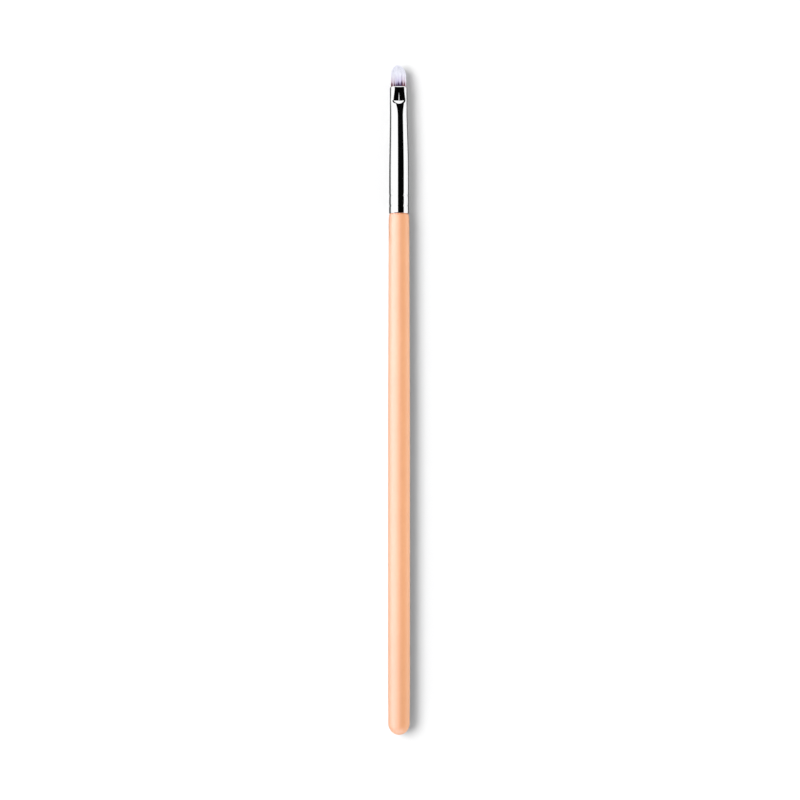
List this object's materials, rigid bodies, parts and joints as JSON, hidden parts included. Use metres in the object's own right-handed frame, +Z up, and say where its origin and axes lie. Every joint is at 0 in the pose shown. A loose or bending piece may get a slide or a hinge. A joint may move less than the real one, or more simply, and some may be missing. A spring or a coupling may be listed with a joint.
{
  "type": "eyeliner brush",
  "caption": "Slim eyeliner brush with a round tapered handle, a polished ferrule pressed flat at its mouth, and a small domed filament tuft.",
  "frame": {"origin": "the point on the surface that the brush lies on, below the middle of its length, on its centre line", "axes": "+Z up, +Y along the brush from the butt of the handle to the tip of the tuft, +X to the right with the tuft pointing away; the ferrule's two flats face +Z and -Z"},
  "size_m": [0.0056, 0.17, 0.0056],
  "materials": {
    "lacquered_wood": "satin",
    "ferrule_metal": "polished",
    "filament": "satin",
    "root_resin": "gloss"
  },
  "bodies": {
    "root": {"handle": "lacquered_wood", "ferrule": "ferrule_metal", "tuft": "filament", "root_plug": "root_resin"}
  },
  "joints": []
}
